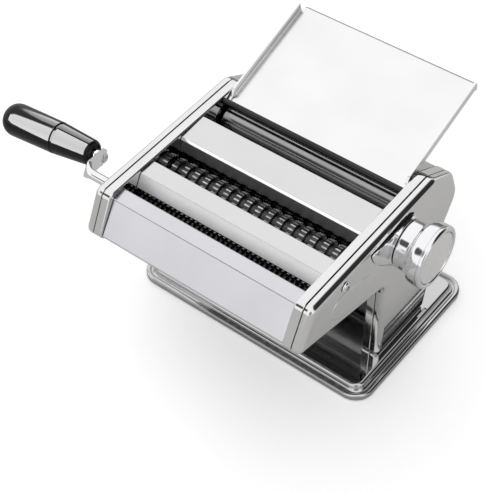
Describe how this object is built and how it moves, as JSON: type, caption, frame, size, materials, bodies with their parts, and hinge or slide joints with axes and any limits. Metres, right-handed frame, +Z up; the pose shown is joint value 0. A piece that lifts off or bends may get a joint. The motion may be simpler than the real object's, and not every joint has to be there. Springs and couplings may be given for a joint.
{
  "type": "pasta roller machine",
  "caption": "Hand-cranked pasta roller: chromed side housings on a tray base, smooth rollers with a thickness knob, wide and narrow noodle cutters, sloping feed tray.",
  "frame": {"origin": "on the table surface under the feet, below the middle of the whole object's bounds at rest", "axes": "+X towards the thickness knob and away from the crank, along all roller axes; +Y from the noodle cutters to the feed tray; +Z up"},
  "size_m": [0.3565, 0.2268, 0.1725],
  "materials": {
    "polished_steel": "polished stainless sheet, mirror-like",
    "plate_steel": "satin bright stainless sheet",
    "tray_steel": "polished stainless sheet, mirror-like",
    "roller_steel": "smooth ground roller",
    "cutter_steel": "machined steel, a little dull",
    "gear_steel": "plain pressed steel",
    "chrome": "bright chrome plating",
    "cap_steel": "light satin disc",
    "bearing_plastic": "dark bearing plastic",
    "grip_plastic": "glossy black",
    "rubber": "black, matte"
  },
  "bodies": {
    "frame": {"base_tray": "tray_steel", "foot_front_left": "rubber", "foot_front_right": "rubber", "foot_back_left": "rubber", "foot_back_right": "rubber", "side_shell_left": "polished_steel", "side_shell_right": "polished_steel", "side_cover_left": "polished_steel", "side_cover_right": "polished_steel", "side_screw_left": "chrome", "side_screw_right": "chrome", "tie_rod_top": "chrome", "tie_rod_front": "chrome", "tie_rod_low": "chrome", "front_cover": "plate_steel", "middle_cover": "plate_steel", "back_cover": "plate_steel", "rear_cover": "plate_steel", "wide_comb_front": "plate_steel", "wide_comb_rear": "plate_steel", "narrow_comb_front": "plate_steel", "narrow_comb_rear": "plate_steel", "scraper_front": "plate_steel", "scraper_rear": "plate_steel", "adjuster_collar": "chrome"},
    "roller_carrier": {"bearing_block_left": "bearing_plastic", "bearing_block_right": "bearing_plastic"},
    "smooth_front": {"smooth_roller_front": "roller_steel", "smooth_gear_front": "gear_steel"},
    "smooth_rear": {"smooth_roller_rear": "roller_steel", "smooth_gear_rear": "gear_steel"},
    "wide_front": {"wide_cutter_front": "cutter_steel", "wide_gear_front": "gear_steel"},
    "wide_rear": {"wide_cutter_rear": "cutter_steel", "wide_gear_rear": "gear_steel"},
    "narrow_front": {"narrow_cutter_front": "cutter_steel", "narrow_gear_front": "gear_steel"},
    "narrow_rear": {"narrow_cutter_rear": "cutter_steel", "narrow_gear_rear": "gear_steel"},
    "adjuster": {"adjuster_shaft": "chrome"},
    "knob": {"adjusting_knob": "chrome", "knob_cap": "cap_steel"},
    "crank": {"crank_arm": "chrome"},
    "grip": {"crank_grip": "grip_plastic"},
    "feed": {"feed_tray": "plate_steel"}
  },
  "joints": [
    {"name": "smooth_rear_spin", "type": "hinge", "parent": "frame", "child": "smooth_rear", "pos_m": [0.06025, 0.0226, 0.1192], "axis": [1, 0, 0], "continuous": true},
    {"name": "wide_front_spin", "type": "hinge", "parent": "frame", "child": "wide_front", "pos_m": [0.06025, -0.03715, 0.113], "axis": [1, 0, 0], "continuous": true},
    {"name": "wide_rear_spin", "type": "hinge", "parent": "frame", "child": "wide_rear", "pos_m": [0.06025, -0.02245, 0.1045], "axis": [1, 0, 0], "continuous": true},
    {"name": "narrow_front_spin", "type": "hinge", "parent": "frame", "child": "narrow_front", "pos_m": [0.06025, -0.07465, 0.1108], "axis": [1, 0, 0], "continuous": true},
    {"name": "narrow_rear_spin", "type": "hinge", "parent": "frame", "child": "narrow_rear", "pos_m": [0.06025, -0.06155, 0.1032], "axis": [1, 0, 0], "continuous": true},
    {"name": "knob_turn", "type": "hinge", "parent": "frame", "child": "adjuster", "pos_m": [0.06025, -0.00305, 0.1192], "axis": [1, 0, 0], "range_deg": [-85, 85]},
    {"name": "roller_carrier_slide", "type": "slide", "parent": "frame", "child": "roller_carrier", "axis": [0, 1, 0], "range_m": [-0.00126, 0.00126]},
    {"name": "smooth_front_spin", "type": "hinge", "parent": "roller_carrier", "child": "smooth_front", "pos_m": [0.06025, -0.00305, 0.1192], "axis": [1, 0, 0], "continuous": true},
    {"name": "knob_pull", "type": "slide", "parent": "adjuster", "child": "knob", "axis": [1, 0, 0], "range_m": [0, 0.0035], "stiffness_N_per_m": 800, "springref_m": -0.006},
    {"name": "crank_pull", "type": "slide", "parent": "narrow_front", "child": "crank", "axis": [-1, 0, 0], "range_m": [0, 0.03]},
    {"name": "grip_spin", "type": "hinge", "parent": "crank", "child": "grip", "pos_m": [-0.09353, -0.03709, 0.08303], "axis": [-0.9969, -0.0601, -0.0501], "continuous": true},
    {"name": "feed_tray_lift", "type": "slide", "parent": "frame", "child": "feed", "axis": [0, 0.9373, 0.3486], "range_m": [0, 0.1]}
  ],
  "couplings": [
    {"joint": "smooth_front_spin", "follows": "smooth_rear_spin", "ratio": -1},
    {"joint": "wide_rear_spin", "follows": "wide_front_spin", "ratio": -1},
    {"joint": "narrow_rear_spin", "follows": "narrow_front_spin", "ratio": -1},
    {"joint": "roller_carrier_slide", "follows": "knob_turn", "m_per_rad": 0.00084}
  ]
}
